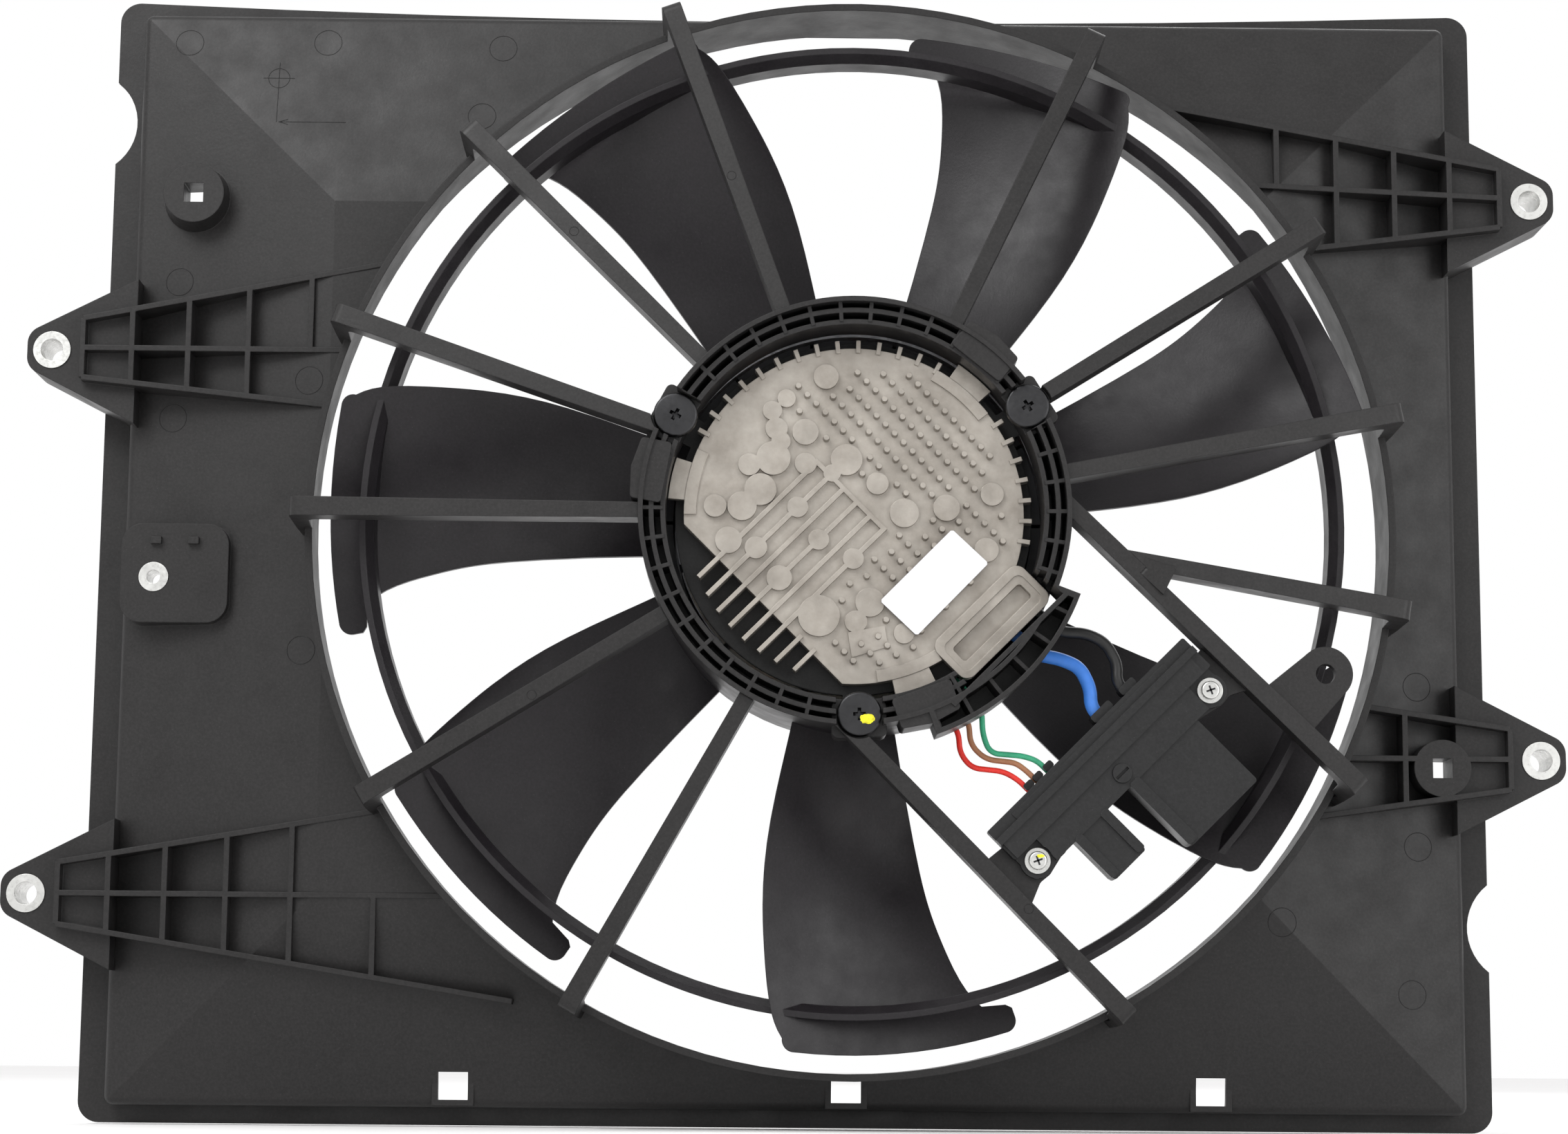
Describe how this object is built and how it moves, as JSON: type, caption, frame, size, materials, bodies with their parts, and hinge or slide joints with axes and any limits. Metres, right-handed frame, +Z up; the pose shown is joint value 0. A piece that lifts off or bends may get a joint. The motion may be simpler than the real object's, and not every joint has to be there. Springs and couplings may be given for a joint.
{
  "type": "radiator cooling fan",
  "caption": "Electric radiator cooling fan: ribbed plastic shroud with a round duct, strut-held motor and controller, and a swept-blade fan inside.",
  "frame": {"origin": "on the fan's axis, in the plane of the shroud's rim that faces the radiator", "axes": "+X to the right and +Z up seen from the motor side, +Y away from the motor towards the radiator"},
  "size_m": [0.6572, 0.103, 0.4885],
  "materials": {
    "bearing_steel": "ground and polished",
    "black_coat": "black coated casting",
    "black_screw": "black plated",
    "board": "lacquered board",
    "cast_aluminium": "die cast, bare",
    "connector_plastic": "satin moulded",
    "copper": "enamelled wire",
    "fan_plastic": "satin moulded",
    "insulator_plastic": "moulded",
    "lamination_steel": "stacked sheet edges",
    "magnet": "sintered, coated",
    "plated_steel": "plated pressing",
    "seal_rubber": "moulded rubber",
    "shroud_plastic": "satin moulded, fine grain",
    "terminal_metal": "tinned terminal",
    "wire_black": "extruded insulation",
    "wire_blue": "extruded insulation",
    "wire_brown": "extruded insulation",
    "wire_green": "extruded insulation",
    "wire_red": "extruded insulation",
    "zinc_steel": "zinc plated"
  },
  "bodies": {
    "shroud": {"accessory_insert": "zinc_steel", "bush_lower_left": "zinc_steel", "bush_lower_right": "zinc_steel", "bush_upper_left": "zinc_steel", "bush_upper_right": "zinc_steel", "circuit_board": "board", "connector_bracket_lower": "shroud_plastic", "connector_bracket_right": "shroud_plastic", "connector_housing": "connector_plastic", "connector_plug": "connector_plastic", "connector_screws": "zinc_steel", "controller_cover": "cast_aluminium", "cover_seal": "seal_rubber", "front_bearing_outer_race": "bearing_steel", "harness_tab": "shroud_plastic", "motor_base": "black_coat", "motor_ring": "shroud_plastic", "motor_screws": "black_screw", "mount_arm_lower_left": "shroud_plastic", "mount_arm_lower_right": "shroud_plastic", "mount_arm_upper_left": "shroud_plastic", "mount_arm_upper_right": "shroud_plastic", "power_terminals": "terminal_metal", "rear_bearing_outer_race": "bearing_steel", "shroud": "shroud_plastic", "signal_pins": "terminal_metal", "stator_core": "lamination_steel", "stator_insulators": "insulator_plastic", "stator_windings": "copper", "strut_01": "shroud_plastic", "strut_02": "shroud_plastic", "strut_03": "shroud_plastic", "strut_04": "shroud_plastic", "strut_05": "shroud_plastic", "strut_06": "shroud_plastic", "strut_07": "shroud_plastic", "strut_08": "shroud_plastic", "strut_09": "shroud_plastic", "strut_10": "shroud_plastic", "strut_11": "shroud_plastic", "strut_12": "shroud_plastic", "wire_black": "wire_black", "wire_blue": "wire_blue", "wire_brown": "wire_brown", "wire_green": "wire_green", "wire_grommet": "seal_rubber", "wire_red": "wire_red"},
    "rotor": {"fan": "fan_plastic", "fan_screws": "plated_steel", "front_bearing_inner_race": "bearing_steel", "rear_bearing_inner_race": "bearing_steel", "retaining_ring": "plated_steel", "rotor_cup": "plated_steel", "rotor_magnets": "magnet", "shaft": "bearing_steel"},
    "front_balls": {"front_bearing_balls": "bearing_steel"},
    "rear_balls": {"rear_bearing_balls": "bearing_steel"}
  },
  "joints": [
    {"name": "fan_spin", "type": "hinge", "parent": "shroud", "child": "rotor", "pos_m": [0, -0.05, 0], "axis": [0, -1, 0], "continuous": true},
    {"name": "front_balls_spin", "type": "hinge", "parent": "shroud", "child": "front_balls", "pos_m": [0, -0.041, 0], "axis": [0, -1, 0], "continuous": true},
    {"name": "rear_balls_spin", "type": "hinge", "parent": "shroud", "child": "rear_balls", "pos_m": [0, -0.066, 0], "axis": [0, -1, 0], "continuous": true}
  ],
  "couplings": [
    {"joint": "front_balls_spin", "follows": "fan_spin", "ratio": 0.375},
    {"joint": "rear_balls_spin", "follows": "fan_spin", "ratio": 0.375}
  ]
}
